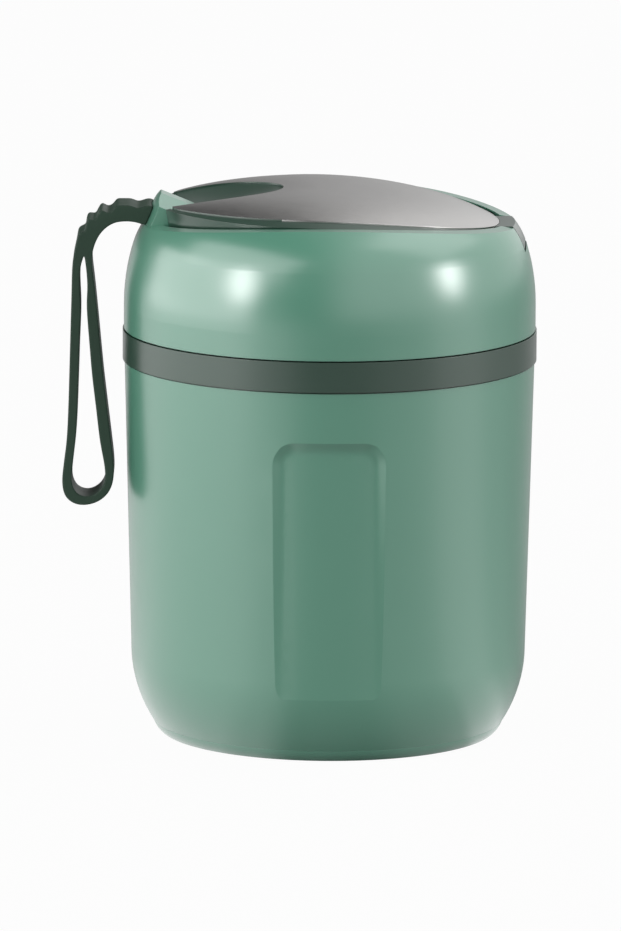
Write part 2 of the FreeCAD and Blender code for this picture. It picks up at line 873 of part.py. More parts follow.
def ear_plan(gap, level):
    """The ear's plan, grown by gap: a block at the wall that narrows to a tongue."""
    half = float(ear_half_width) + gap
    tip_half = float(ear_tip_half_width) + gap
    outer = -float(lid_radius)
    neck = float(ear_neck) + gap
    tip = float(ear_tip) + gap
    near_side = [(outer, -half), (neck, -half), (tip, -tip_half)]
    far_side = [(x, -y) for x, y in reversed(near_side)]
    points = [FreeCAD.Vector(x, y, level) for x, y in near_side + far_side]
    return Part.Face(Part.makePolygon(points + points[:1]))


def make_ear():
    """Raised ramp that carries the strap: a tongue with a flat ridge and falling flanks,
    which points into the flip cover's scoop."""
    base = float(ear_foot_level)
    height = float(above_all) - base
    prism = ear_plan(0.0, base).extrude(FreeCAD.Vector(0, 0, height))
    fall = float(ear_slope)
    peak = FreeCAD.Vector(float(ear_peak), 0, float(ear_top))
    for side in (-1, 1):
        edge = peak + FreeCAD.Vector(0, side * float(ear_ridge), 0)
        slope = FreeCAD.Vector(fall, side * float(ear_flank), 1)
        prism = prism.cut(half_space(edge, slope))
    prism = prism.cut(half_space(peak, FreeCAD.Vector(fall, 0, 1)))
    width = 2 * float(mouth_wide)
    under = Part.makeBox(
        float(mouth_long) * 2, width, float(deck_top + ear_under) - base,
        FreeCAD.Vector(-float(mouth_long), -width / 2, base),
    )
    return fixed_shape("ear_blank", prism.cut(under))


HALF_SPACE_SIDE = 60.0


def half_space(point, normal):
    """A large block that fills the side of a plane that its normal points to."""
    side = HALF_SPACE_SIDE
    unit = FreeCAD.Vector(normal)
    unit.normalize()
    block_shape = Part.makeBox(side, side, side, FreeCAD.Vector(-side / 2, -side / 2, 0))
    turn = FreeCAD.Rotation(FreeCAD.Vector(0, 0, 1), unit)
    block_shape.Placement = FreeCAD.Placement(point, turn)
    return block_shape


def ear_face_corners(grow):
    """Outline of the ear's outer face, which leans in and rounds over to the peak."""
    crown = ear_top
    return [
        (zero, ear_foot_level),
        (ear_foot_radius + grow, ear_foot_level),
        (ear_shoulder_radius + grow, ear_shoulder_level, ear_round + grow, 1),
        (grow - ear_peak, crown + grow),
        (zero, crown + grow),
    ]


ARCH_STEPS = 8


def make_arch_cutter():
    """Everything above the arched surface that truncates the lid's dome."""
    half_x = float(band_radius)
    start = float(deck_top + rim_rise)
    points = []
    for step in range(ARCH_STEPS + 1):
        x = half_x * (2 * step / ARCH_STEPS - 1)
        points.append(FreeCAD.Vector(x, -half_x, start - float(rim_fall) * x * x))
    curve = Part.BSplineCurve()
    curve.interpolate(points)
    corner_a = FreeCAD.Vector(half_x, -half_x, float(above_all))
    corner_b = FreeCAD.Vector(-half_x, -half_x, float(above_all))
    edges = [
        curve.toShape(),
        Part.makeLine(points[-1], corner_a),
        Part.makeLine(corner_a, corner_b),
        Part.makeLine(corner_b, points[0]),
    ]
    face = Part.Face(Part.Wire(edges))
    return fixed_shape("arch_cutter", face.extrude(FreeCAD.Vector(0, 2 * half_x, 0)))


def make_lid_shell(dome_outside):
    """The lid's dome: arched rim, oval mouth, strap ear, hinge cheeks and notch."""
    inside = turned("dome_inside", dome_corners(lid_wall, lid_bottom - lid_gap))
    mouth = oval("lid_mouth", mouth_long, mouth_wide, ceiling_top, above_all)
    dome = cut("dome_wall", dome_outside, inside)
    dome_open = cut("dome_open", dome, mouth, make_arch_cutter())
    envelope = turned("ear_envelope", ear_face_corners(zero))
    ear = shared("ear_trimmed", make_ear(), envelope)
    ear_seat = cut("ear_seat", ear, make_ear_pocket())
    cheeks = []
    for name, low_y, high_y in (
        ("cheek_back", cheek_room, cheek_room + cheek_width),
        ("cheek_front", -(cheek_room + cheek_width), -cheek_room),
    ):
        low = (hinge_reach - cheek_reach, low_y, hinge_level - cheek_drop)
        cheeks.append(block(name, low, (lid_radius, high_y, deck_top + ear_under)))
    cheek_pair = joined("cheek_pair", *cheeks)
    cheek_trimmed = shared("cheek_trimmed", cheek_pair, dome_outside)
    body = joined("lid_body", dome_open, ear_seat, cheek_trimmed)
    notch = rod(
        "hinge_notch", barrel_radius + barrel_gap, cheek_room, hinge_reach, hinge_level
    )
    slot = block(
        "hinge_slot",
        (hinge_reach - barrel_radius, -cheek_room, hinge_level),
        (lid_radius, cheek_room, crown_level),
    )
    bore = rod("pin_bore", pin_radius, pin_half_length, hinge_reach, hinge_level)
    strap_bore = rod(
        "strap_pin_bore", strap_pin_radius, strap_pin_half_length,
        strap_pin_place, strap_level,
    )
    return cut("lid_shell", body, notch, slot, bore, strap_bore)


def make_ear_pocket():
    half_width = tongue_width * 0.5 + strap_fit
    half_height = tongue_height * 0.5 + strap_fit
    return block(
        "ear_pocket",
        (-lid_radius, -half_width, strap_level - half_height),
        (tongue_end + strap_fit, half_width, strap_level + half_height),
    )


def make_lid_tray():
    """Pan for the spoon with a flat deck round it, open at the hinge."""
    pan = oval("pan_outside", pan_long + tray_wall, pan_wide + tray_wall, ceiling_top, deck_top)
    deck = oval(
        "deck_plate", mouth_long - tray_gap, mouth_wide - tray_gap,
        deck_top - tray_wall, deck_top,
    )
    body = joined("tray_body", pan, deck)
    hollow = oval("pan_hollow", pan_long, pan_wide, tray_floor, deck_top + tray_wall)
    room = cheek_room + cheek_width + barrel_gap
    notch = block(
        "tray_notch",
        (hinge_reach - barrel_radius - barrel_gap, -room, ceiling_top),
        (lid_radius, room, deck_top + tray_wall),
    )
    return cut("lid_tray", body, hollow, notch, *screw_holes("tray_hole", screw_clear))


def make_cover_hollow():
    """The room under the flip cover: an even wall that also follows the scoop's floor."""
    plan = oval(
        "cover_hollow_plan", cover_long - cover_wall, cover_wide - cover_wall,
        cover_bottom - cover_wall, above_all,
    )
    ceiling_drop = float(plate_thickness + cover_wall)
    ceiling = skin_block("cover_ceiling", plate_height, ceiling_drop, -SKIN_DEPTH)
    scoop_plan = oval(
        "scoop_under_plan", scoop_long, scoop_wide, cover_bottom - cover_wall, above_all,
        scoop_centre,
    )
    scoop_skin = skin_block("scoop_under_skin", scoop_height, float(cover_wall), SKIN_DEPTH)
    scoop_floor = shared("scoop_under", scoop_plan, scoop_skin)
    return cut("cover_hollow", shared("cover_room", plan, ceiling), scoop_floor)


def make_cover_lug(dome_outside):
    """The hinge barrel and the arm that carries it, flush with the lid's outside."""
    barrel = rod("cover_barrel", barrel_radius, barrel_half_width, hinge_reach, hinge_level)
    arm = block(
        "cover_arm",
        (hinge_reach - arm_reach, -barrel_half_width, cover_bottom),
        (hinge_reach, barrel_half_width, hinge_top),
    )
    lug = joined("cover_lug", barrel, arm)
    over = block(
        "barrel_over",
        (hinge_reach - arm_reach - cover_wall, -lid_radius, hinge_top),
        (lid_radius, lid_radius, above_all),
    )
    return cut("cover_lug_flat", shared("cover_lug_flush", lug, dome_outside), over)


def make_cover_body(dome_outside):
    """Flip cover: hollow below, with a dished finger scoop, a seat for the trim plate,
    a notch round the lid's ear and the hinge barrel."""
    spread = cover_draft * float(above_all - cover_bottom)
    prism = drafted_oval("cover_prism", cover_long, cover_wide, cover_bottom, above_all, spread)
    skin = skin_block("cover_skin", plate_height, float(plate_proud), -SKIN_DEPTH)
    solid = shared("cover_solid", prism, skin)
    relief = rod("hinge_relief", relief_radius, cover_wide, hinge_reach, hinge_level)
    shell = cut("cover_shell", solid, make_cover_hollow(), relief)
    seat_plan = cut(
        "plate_seat_plan",
        oval("plate_seat_oval", plate_long + plate_fit, plate_wide + plate_fit,
             cover_bottom, above_all),
        oval("plate_seat_scoop", scoop_long - plate_fit, scoop_wide - plate_fit,
             cover_bottom - cover_wall, above_all, scoop_centre),
    )
    seat_skin = skin_block("plate_seat_skin", plate_height, float(plate_thickness), SKIN_DEPTH)
    seat = shared("plate_seat", seat_plan, seat_skin)
    dish_plan = oval("scoop_plan", scoop_long, scoop_wide, cover_bottom, above_all, scoop_centre)
    dish = shared("scoop_dish", dish_plan, skin_block("scoop_skin", scoop_height, 0.0, SKIN_DEPTH))
    whole = joined("cover_with_lug", shell, make_cover_lug(dome_outside))
    body = cut("cover_shaped", whole, seat, dish, make_ear_clearance())
    bore = rod("barrel_bore", pin_radius + pin_play, cheek_room, hinge_reach, hinge_level)
    return cut("cover_body", body, bore)


def make_ear_clearance():
    """Notch in the flip cover that goes round the lid's ear."""
    level = float(cover_bottom - cover_wall)
    notch = ear_plan(float(ear_gap), level).extrude(FreeCAD.Vector(0, 0, SKIN_DEPTH))
    return fixed_shape("ear_clearance", notch)


def make_cover_plate():
    """Domed steel trim: an oval with the finger scoop cut out of it, and without the
    knife-thin ends that the scoop would leave on its two wings."""
    outline = oval("plate_oval", plate_long, plate_wide, cover_bottom, above_all)
    scoop = oval(
        "plate_scoop", scoop_long, scoop_wide, cover_bottom - cover_wall, above_all,
        scoop_centre,
    )
    wing_ends = block(
        "wing_ends",
        (-lid_radius, -lid_radius, cover_bottom - cover_wall),
        (ear_neck + ear_gap, lid_radius, above_all),
    )
    plan = cut("plate_plan", outline, scoop, wing_ends)
    thickness = float(plate_thickness - plate_glue)
    return shared("cover_plate", plan, skin_block("plate_skin", plate_height, 0.0, -thickness))


# The strap's side view. Each point is how far it lies out from the strap's root and how
# far above the middle of its tongue. The top has five grip bumps, which follow the bend.
STRAP_BUMPS = [
    (0.0, 1.7), (2.2, 2.3), (4.3, 1.8), (5.9, 2.3), (8.0, 2.4), (9.7, 2.2), (10.6, 1.2),
    (12.0, 0.6), (13.3, 1.1), (14.4, -0.1), (15.3, -1.3), (16.6, -1.3), (17.4, -2.9),
    (17.7, -4.1), (19.0, -4.9), (19.7, -6.9), (20.4, -10.3),
]
STRAP_OUTSIDE = [
    (20.9, -17.3), (21.2, -29.3), (21.5, -41.3), (21.8, -51.3), (22.4, -60.3),
    (23.1, -65.8), (23.2, -69.5), (22.2, -72.6), (19.8, -74.3), (16.9, -74.5),
    (13.6, -73.3), (11.3, -70.9), (10.3, -67.9), (10.2, -64.7),
]
STRAP_INSIDE = [
    (10.8, -58.8), (11.8, -50.5), (12.9, -41.3), (13.8, -31.9), (14.7, -22.6),
    (15.5, -15.3), (15.8, -11.1), (15.3, -8.3), (14.1, -5.5), (12.3, -3.4), (10.1, -2.1),
    (7.7, -1.7), (5.4, -1.8), (3.2, -2.4),
]
STRAP_SLOT = [
    (17.95, -10.9), (18.5, -12.7), (18.7, -22.6), (18.9, -31.9), (19.2, -41.3),
    (19.5, -50.5), (20.1, -59.8), (20.8, -65.9), (20.8, -68.9), (19.5, -71.5), (17, -72.4),
    (14.4, -71.4), (12.7, -69.1), (12.4, -65.9), (13.4, -59.8), (14.6, -50.5),
    (15.7, -41.3), (16.5, -31.9), (17.1, -22.6), (17.4, -12.7),
]
STRAP_HEEL = -1.2


def strap_point(out, up, y):
    return FreeCAD.Vector(float(strap_root) - out, y, float(strap_level) + up)


def strap_curve(points, is_closed):
    """A smooth curve through points of the strap's side view."""
    y = -float(strap_width) / 2
    curve = Part.BSplineCurve()
    curve.interpolate([strap_point(*point, y) for point in points], PeriodicFlag=is_closed)
    return curve.toShape()


def make_strap():
    """Carry loop: two flat strands that part below the bend, grip bumps over the bend
    and a tongue that sits in the ear."""
    outline = STRAP_BUMPS + STRAP_OUTSIDE + STRAP_INSIDE
    side = -float(strap_width) / 2
    first = strap_point(*outline[0], side)
    last = strap_point(*outline[-1], side)
    heel = strap_point(STRAP_HEEL, outline[-1][1], side)
    edges = [
        strap_curve(outline, False),
        Part.makeLine(last, heel),
        Part.makeLine(heel, first),
    ]
    across = FreeCAD.Vector(0, float(strap_width), 0)
    solid = Part.Face(Part.Wire(edges)).extrude(across)
    slot = Part.Face(Part.Wire([strap_curve(STRAP_SLOT, True)])).extrude(across)
    band = fixed_shape("strap_band", solid.cut(slot))
    ear_face = turned("strap_root_trim", ear_face_corners(strap_fit))
    band_trimmed = cut("strap_band_trimmed", band, ear_face)
    half_tongue = tongue_width * 0.5
    tongue = block(
        "strap_tongue",
        (strap_root - tongue_overlap, -half_tongue, strap_level - tongue_height * 0.5),
        (tongue_end, half_tongue, strap_level + tongue_height * 0.5),
    )
    whole = joined("strap_whole", band_trimmed, tongue)
    pin_hole = rod("strap_hole", strap_pin_radius, tongue_width, strap_pin_place, strap_level)
    return cut("strap", whole, pin_hole)


def make_spoon_bowl():
    """Dished bowl with a flat tail that the rivet goes through."""
    centre = float(spoon_bowl_centre)
    long = float(spoon_bowl_long)
    wide = float(spoon_bowl_wide)
    depth = float(spoon_bowl_depth)
    rim = float(tray_floor + spoon_lift) + depth
    gauge = float(spoon_sheet)
    ball = Part.makeSphere(1.0)
    outer = stretched(ball, (long, wide, depth), (centre, 0, rim))
    inner = stretched(ball, (long - gauge, wide - gauge, depth - gauge), (centre, 0, rim))
    reach = float(band_radius)
    above = Part.makeBox(2 * reach, 2 * reach, reach, FreeCAD.Vector(-reach, -reach, rim))
    half = float(spoon_neck_width) / 2
    tail_start = float(spoon_pivot) - half
    tail_length = centre - long + float(spoon_neck_overlap) - tail_start
    tail = Part.makeBox(
        tail_length, 2 * half, gauge, FreeCAD.Vector(tail_start, -half, rim - gauge)
    )
    shell = outer.fuse(tail).cut(above).cut(inner)
    hole = Part.makeCylinder(
        float(rivet_radius), 2 * depth, FreeCAD.Vector(float(spoon_pivot), 0, rim - depth)
    )
    return fixed_shape("spoon_bowl", shell.cut(hole).removeSplitter())


def stretched(shape, scale, place):
    matrix = FreeCAD.Matrix()
    matrix.scale(*scale)
    result = shape.transformGeometry(matrix)
    result.translate(FreeCAD.Vector(*place))
    return result


# A rounded end stops just short of a half circle, so that a flat is left between its corners
END_FLAT = 0.1


def make_spoon_handle():
    """Flat handle folded back over the bowl."""
    bottom = tray_floor + spoon_lift + spoon_bowl_depth + spoon_play
    half = spoon_handle_width * 0.5
    top = bottom + spoon_sheet
    plate = block(
        "handle_plate", (spoon_pivot - half, -half, bottom), (spoon_handle_end, half, top)
    )
    fillet = doc.addObject("Part::Fillet", "handle_round")
    fillet.Base = plate
    doc.recompute()
    radius = float(half) - END_FLAT
    upright = []
    for index, edge in enumerate(plate.Shape.Edges, start=1):
        way = edge.tangentAt(edge.FirstParameter)
        if abs(way.z) > abs(way.x) + abs(way.y):
            upright.append((index, radius, radius))
    fillet.Edges = upright
    hole = disc(
        "handle_hole", rivet_radius, spoon_pivot, zero, bottom - spoon_sheet, spoon_sheet * 3
    )
    return cut("spoon_handle", fillet, hole)


def make_spoon_rivet():
    rim = tray_floor + spoon_lift + spoon_bowl_depth
    top = rim + spoon_play + spoon_sheet
    bottom = rim - spoon_sheet
    shank = disc("rivet_shank", rivet_radius, spoon_pivot, zero, bottom, top - bottom)
    head = disc("rivet_top", rivet_head, spoon_pivot, zero, top, rivet_head_height)
    tail = disc(
        "rivet_bottom", rivet_head, spoon_pivot, zero,
        bottom - rivet_head_height, rivet_head_height,
    )
    return joined("spoon_rivet", shank, head, tail)


dome_outside = make_dome_outside()
pieces = [
    make_base_pad(),
    make_base_cap(),
    make_outer_shell(),
    make_neck_ring(),
    make_neck_gasket(),
    make_vacuum_jacket(),
    make_inner_pot(),
    make_stopper_cup(),
    make_stopper_foam(),
    make_stopper_cap(),
    make_stopper_seal(),
    make_lid_liner(),
    make_tray_screws(),
    make_lid_shell(dome_outside),
    make_lid_tray(),
    make_cover_body(dome_outside),
    make_cover_plate(),
    rod("hinge_pin", pin_radius, pin_half_length, hinge_reach, hinge_level),
    make_strap(),
    rod("strap_pin", strap_pin_radius, strap_pin_half_length, strap_pin_place, strap_level),
    make_spoon_bowl(),
    make_spoon_handle(),
    make_spoon_rivet(),
]

doc.recompute()
for obj in doc.Objects:
    if "Invalid" in obj.State or "Error" in obj.State:
        raise RuntimeError(f"{obj.Name} failed: {obj.State}")

os.makedirs("parts", exist_ok=True)
for piece in pieces:
    shape = piece.Shape
    if shape.isNull() or not shape.isValid():
        raise RuntimeError(f"{piece.Label} has no valid shape")
    box = shape.BoundBox
    print(
        f"{piece.Label:14s} solids {len(shape.Solids)} volume {shape.Volume:9.1f} "
        f"z {box.ZMin:6.1f} to {box.ZMax:6.1f} x {box.XMin:6.1f} to {box.XMax:6.1f}"
    )
    shape.exportStep(f"parts/{piece.Label}.step")
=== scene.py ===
import json
import math

import bpy
import bmesh
from mathutils import Matrix, Vector


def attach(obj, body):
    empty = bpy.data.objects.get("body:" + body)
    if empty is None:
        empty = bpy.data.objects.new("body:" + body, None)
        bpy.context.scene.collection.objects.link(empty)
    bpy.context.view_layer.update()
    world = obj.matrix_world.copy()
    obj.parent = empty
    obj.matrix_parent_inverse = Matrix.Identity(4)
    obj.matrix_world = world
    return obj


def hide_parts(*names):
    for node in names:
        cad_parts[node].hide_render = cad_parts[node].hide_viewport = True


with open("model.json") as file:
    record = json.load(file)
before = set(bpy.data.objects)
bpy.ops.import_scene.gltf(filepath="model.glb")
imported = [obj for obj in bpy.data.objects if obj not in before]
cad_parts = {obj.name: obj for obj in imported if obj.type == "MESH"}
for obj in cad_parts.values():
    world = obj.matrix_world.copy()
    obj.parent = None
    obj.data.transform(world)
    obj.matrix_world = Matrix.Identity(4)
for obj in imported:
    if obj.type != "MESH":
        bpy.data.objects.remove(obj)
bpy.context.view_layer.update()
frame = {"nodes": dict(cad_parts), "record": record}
NODES = frame["nodes"]

# Lengths are in metres and angles in degrees, except where a name says otherwise.
# The camera stands far off with a long lens.
IMAGE_HEIGHT_PIXELS = 931
FOCAL_PIXELS = 11435
SENSOR_MM = 36.0
CAMERA_BACK = 2.859
CAMERA_HEIGHT = 0.588
CAMERA_SIDE = -0.0047
CAMERA_REACH = 50
AIM_HEIGHT = 0.0681
ROLL = 0.28

# Base colours, in linear light
SAGE = (0.09, 0.288, 0.196)
DARK_GREEN = (0.016, 0.054, 0.034)
STRAP_GREEN = (0.016, 0.044, 0.026)
RUBBER_GREEN = (0.03, 0.045, 0.035)
OFF_WHITE = (0.66, 0.68, 0.65)
SILICONE_WHITE = (0.62, 0.65, 0.62)
FOAM_WHITE = (0.7, 0.69, 0.64)
STEEL = (0.56, 0.55, 0.54)
WHITE = (1, 1, 1, 1)

# Most of a noise texture lies in this band, which is spread over the range that it moves
NOISE_BAND = (0.3, 0.7)
FINE_DETAIL = 4.0
PEEL_DETAIL = 3.0
EDGE_SAMPLES = 6

# Noise scales are per metre. A gloss range holds shares of a finish's own roughness.
DRIFT_SCALE = 18.0
WEAR_SCALE = 160.0
PLASTIC_GLOSS_RANGE = (0.92, 1.1)
PLASTIC_IOR = 1.5
STEEL_GLOSS_RANGE = (0.85, 1.2)
STEEL_CHANGE = 0.05
STEEL_ROUND_EDGE = 0.0002


def add_object(name, data):
    thing = bpy.data.objects.new(name, data)
    bpy.context.scene.collection.objects.link(thing)
    return thing


def point_camera():
    data = bpy.data.cameras.new("photo_camera")
    data.sensor_width = SENSOR_MM
    data.lens = FOCAL_PIXELS / IMAGE_HEIGHT_PIXELS * SENSOR_MM
    data.clip_end = CAMERA_REACH
    camera = add_object("photo_camera", data)
    place = Vector((CAMERA_SIDE, -CAMERA_BACK, CAMERA_HEIGHT))
    aim = Vector((CAMERA_SIDE, 0.0, AIM_HEIGHT))
    turn = (aim - place).to_track_quat("-Z", "Y").to_matrix().to_4x4()
    roll = Matrix.Rotation(math.radians(ROLL), 4, "Z")
    camera.matrix_world = Matrix.Translation(place) @ turn @ roll
    bpy.context.scene.camera = camera


def feed(tree, node, inputs):
    """Sets each input to its value, or links it where the value is a node's output."""
    for key, value in inputs.items():
        if isinstance(value, bpy.types.NodeSocket):
            tree.links.new(value, node.inputs[key])
        else:
            node.inputs[key].default_value = value


def add_node(tree, kind, inputs=None, **settings):
    node = tree.nodes.new(kind)
    for key, value in settings.items():
        setattr(node, key, value)
    feed(tree, node, inputs or {})
    return node


def calculate(tree, operation, first, second):
    node = add_node(tree, "ShaderNodeMath", {0: first, 1: second}, operation=operation)
    return node.outputs["Value"]


def grain(tree, scale, detail=2.0, stretch=(1.0, 1.0, 1.0)):
    """Noise over the object's own metres, stretched along an axis for brushed marks."""
    place = add_node(tree, "ShaderNodeTexCoord")
    mapping = add_node(
        tree, "ShaderNodeMapping", {"Vector": place.outputs["Object"], "Scale": stretch}
    )
    noise = add_node(
        tree, "ShaderNodeTexNoise",
        {"Vector": mapping.outputs["Vector"], "Scale": scale, "Detail": detail},
    )
    return noise.outputs["Fac"]


def uneven(tree, noise, value, shares):
    """A number that the noise moves between two shares of its value."""
    node = add_node(
        tree, "ShaderNodeMapRange",
        {
            "Value": noise, "From Min": NOISE_BAND[0], "From Max": NOISE_BAND[1],
            "To Min": value * shares[0], "To Max": value * shares[1],
        },
    )
    return node.outputs["Result"]


def tinted(tree, noise, colour, change):
    """A colour that the noise darkens and lightens a little."""
    ramp = add_node(tree, "ShaderNodeValToRGB", {"Fac": noise})
    stops = ramp.color_ramp.elements
    for stop, position, share in zip(stops, NOISE_BAND, (1 - change, 1 + change)):
        stop.position = position
        stop.color = [channel * share for channel in colour] + [1]
    return ramp.outputs["Color"]


def relief(tree, noise, depth, round_edge):
    """A normal with fine texture, over edges that shade as if rounded by round_edge."""
    edge = add_node(tree, "ShaderNodeBevel", {"Radius": round_edge}, samples=EDGE_SAMPLES)
    node = add_node(
        tree, "ShaderNodeBump",
        {"Height": noise, "Distance": depth, "Normal": edge.outputs["Normal"]},
    )
    return node.outputs["Normal"]


def finish_material(name, inputs):
    """A material whose inputs come from a function of its node tree."""
    material = bpy.data.materials.new(name)
    material.use_nodes = True
    tree = material.node_tree
    shader = next(n for n in tree.nodes if n.type == "BSDF_PRINCIPLED")
    feed(tree, shader, inputs(tree))
    return material


def plastic(
    name, colour, roughness, peel_scale, peel,
    change=0.02, coat=0.0, coat_rough=0.1, coat_ior=1.5, round_edge=0.0003,
):
    """Moulded plastic: slight tone drift, uneven gloss and a fine surface texture."""
    def inputs(tree):
        drift = grain(tree, DRIFT_SCALE)
        wear = grain(tree, WEAR_SCALE, FINE_DETAIL)
        skin = grain(tree, peel_scale, PEEL_DETAIL)
        return {
            "Base Color": tinted(tree, drift, colour, change),
            "Roughness": uneven(tree, wear, roughness, PLASTIC_GLOSS_RANGE),
            "Normal": relief(tree, skin, peel, round_edge),
            "IOR": PLASTIC_IOR,
            "Coat Weight": coat,
            "Coat Roughness": coat_rough,
            "Coat IOR": coat_ior,
        }
    return finish_material(name, inputs)


def steel(name, roughness, stretch, scale=900.0, scratch=2e-6):
    """Steel with fine marks along one direction."""
    def inputs(tree):
        marks = grain(tree, scale, FINE_DETAIL, stretch)
        return {
            "Base Color": tinted(tree, marks, STEEL, STEEL_CHANGE),
            "Roughness": uneven(tree, marks, roughness, STEEL_GLOSS_RANGE),
            "Normal": relief(tree, marks, scratch, STEEL_ROUND_EDGE),
            "Metallic": 1.0,
        }
    return finish_material(name, inputs)


def make_finishes():
    """The finish of each material slot in the record."""
    return {
        "light_shell": plastic(
            "sage_gloss", SAGE, roughness=0.3, peel_scale=420.0, peel=3e-6,
            change=0.012, coat=1.0, coat_rough=0.27, coat_ior=1.95,
        ),
        "dark_trim": plastic(
            "dark_green_satin", DARK_GREEN, roughness=0.3, peel_scale=1500.0, peel=3e-6,
            change=0.05, coat=0.8, coat_rough=0.28, coat_ior=1.7,
        ),
        "dark_strap": plastic(
            "dark_green_elastomer", STRAP_GREEN, roughness=0.5, peel_scale=2200.0, peel=9e-6,
            change=0.06, round_edge=0.0007,
        ),
        "trim_steel": steel(
            "satin_steel", roughness=0.22, stretch=(0.1, 1.0, 1.0), scale=4000.0, scratch=2e-7
        ),
        "flask_steel": steel(
            "spun_steel", roughness=0.3, stretch=(0.02, 0.02, 1.0), scale=2500.0, scratch=6e-7
        ),
        "spoon_steel": steel("spoon_steel", roughness=0.16, stretch=(0.04, 1.0, 1.0)),
        "pin_steel": steel("turned_steel", roughness=0.28, stretch=(1.0, 0.05, 1.0)),
        "pale_plastic": plastic(
            "off_white_plastic", OFF_WHITE, roughness=0.4, peel_scale=900.0, peel=5e-6
        ),
        "silicone": plastic(
            "white_silicone", SILICONE_WHITE, roughness=0.45, peel_scale=1200.0, peel=5e-6
        ),
        "foam": plastic(
            "insulation_foam", FOAM_WHITE, roughness=0.9, peel_scale=1400.0, peel=6e-5
        ),
        "dark_rubber": plastic(
            "dark_rubber", RUBBER_GREEN, roughness=0.7, peel_scale=1600.0, peel=2e-5
        ),
    }


def finish_nodes(finishes):
    """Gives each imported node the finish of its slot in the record."""
    for row in frame["record"]["subparts"]:
        piece = NODES[row["node"]]
        piece.data.materials.clear()
        piece.data.materials.append(finishes[row["material_slot"]])


# A face of the plate whose normal rises less than STEEP_NORMAL belongs to its cut edge. Those
# to the left of SCOOP_END, at the scoop, take the dark finish as painted shade: a dark line
# that stands in for the scoop's shadow over the steel's edge.
SCOOP_END = -0.012
STEEP_NORMAL = 0.6
PLATE_MERGE = 1e-6
PLATE_FLAT_ANGLE = 0.4
PLATE_CREASE = 40


def make_plate(finishes):
    """The trim plate as it is packed, with painted shade on its cut edge at the scoop."""
    mesh = bpy.data.meshes.new("plate_skin")
    work = bmesh.new()
    work.from_mesh(NODES["cover_plate"].data)
    bmesh.ops.remove_doubles(work, verts=work.verts, dist=PLATE_MERGE)
    flat = math.radians(PLATE_FLAT_ANGLE)
    bmesh.ops.dissolve_limit(work, angle_limit=flat, verts=work.verts, edges=work.edges)
    bmesh.ops.triangulate(work, faces=[f for f in work.faces if len(f.verts) > 4])
    # Cut-edge faces at the scoop take the second slot, the dark finish used as painted shade
    for face in work.faces:
        steep = abs(face.normal.z) < STEEP_NORMAL
        face.material_index = int(steep and face.calc_center_median().x < SCOOP_END)
    work.to_mesh(mesh)
    work.free()
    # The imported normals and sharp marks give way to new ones
    for layer in ("custom_normal", "sharp_face", "sharp_edge"):
        if layer in mesh.attributes:
            mesh.attributes.remove(mesh.attributes[layer])
    mesh.shade_smooth()
    mesh.set_sharp_from_angle(angle=math.radians(PLATE_CREASE))
    mesh.materials.append(finishes["trim_steel"])
    # The second slot paints shade on the plate's cut edge at the scoop
    mesh.materials.append(finishes["dark_trim"])
    piece = add_object("plate_skin", mesh)
    piece.matrix_world = NODES["cover_plate"].matrix_world.copy()
    weighted = piece.modifiers.new("face_weights", "WEIGHTED_NORMAL")
    weighted.keep_sharp = True
    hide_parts("cover_plate")
    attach(piece, "cover")


THREAD_STARTS = 3
THREAD_SWEEP = 100
THREAD_RISE = 0.0028
THREAD_BOTTOM = 0.1064
THREAD_STEPS = 48
THREAD_CREASE = 25
# Each end of a ridge grows from TIP of the whole section over the share TAPER of its length
THREAD_TIP = 0.1
THREAD_TAPER = 0.125
# A ridge's section: each corner's offset along the jar's axis and its height off the neck
THREAD_SECTION = ((-0.0008, -0.0001), (-0.0005, 0.00026), (0.0005, 0.00026), (0.0008, -0.0001))
# Above this level the neck ring is only its neck
NECK_START = 0.106


def thread_faces(first, corners):
    """The quads and the two end caps of a ridge whose points start at first."""
    faces = []
    for step in range(THREAD_STEPS):
        near = first + corners * step
        far = near + corners
        for side in range(corners):
            other = (side + 1) % corners
            faces.append((near + side, far + side, far + other, near + other))
    last = first + corners * THREAD_STEPS
    faces.append(tuple(range(first, first + corners)))
    faces.append(tuple(reversed(range(last, last + corners))))
    return faces


def make_thread(finishes):
    """The three ridges of the quick thread on the jar's neck, seen with the lid off."""
    corners = NODES["neck_ring"].data.vertices
    neck = [corner.co for corner in corners if corner.co.z > NECK_START]
    radius = max(math.hypot(corner.x, corner.y) for corner in neck)
    points = []
    faces = []
    for start in range(THREAD_STARTS):
        faces += thread_faces(len(points), len(THREAD_SECTION))
        for step in range(THREAD_STEPS + 1):
            share = step / THREAD_STEPS
            turn = math.radians(360 / THREAD_STARTS * start + THREAD_SWEEP * share)
            grown = min(1.0, share / THREAD_TAPER, (1 - share) / THREAD_TAPER)
            full = THREAD_TIP + (1 - THREAD_TIP) * grown
            for offset, height in THREAD_SECTION:
                away = radius + (height * full if height > 0 else height)
                level = THREAD_BOTTOM + THREAD_RISE * share + offset * full
                points.append((away * math.cos(turn), away * math.sin(turn), level))
    mesh = bpy.data.meshes.new("neck_thread")
    mesh.from_pydata(points, [], faces)
    mesh.shade_smooth()
    mesh.set_sharp_from_angle(angle=math.radians(THREAD_CREASE))
    mesh.materials.append(finishes["dark_trim"])
    piece = add_object("neck_thread", mesh)
    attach(piece, "jar")


# How white the gloss sees the floor, by azimuth: 0 is the camera's side and + is right.
# The floor in front and on the far right counts as shaded, as if by dark cards.
FLOOR_GLOW = (
    (-180, 0.3), (-140, 0.6), (-110, 0.95), (-44, 1.0), (-28, 0.7), (-10, 0.06), (12, 0.0),
    (38, 0.3), (54, 0.45), (64, 0.9), (84, 0.95), (100, 0.4), (125, 0.1), (180, 0.3),
)
FLOOR_ALBEDO = 0.3
FLOOR_HALF_WIDTH = 6.0
FLOOR_DROP = 0.0002
# The camera sees this share of the floor as plain white
CAMERA_WHITE = 0.97


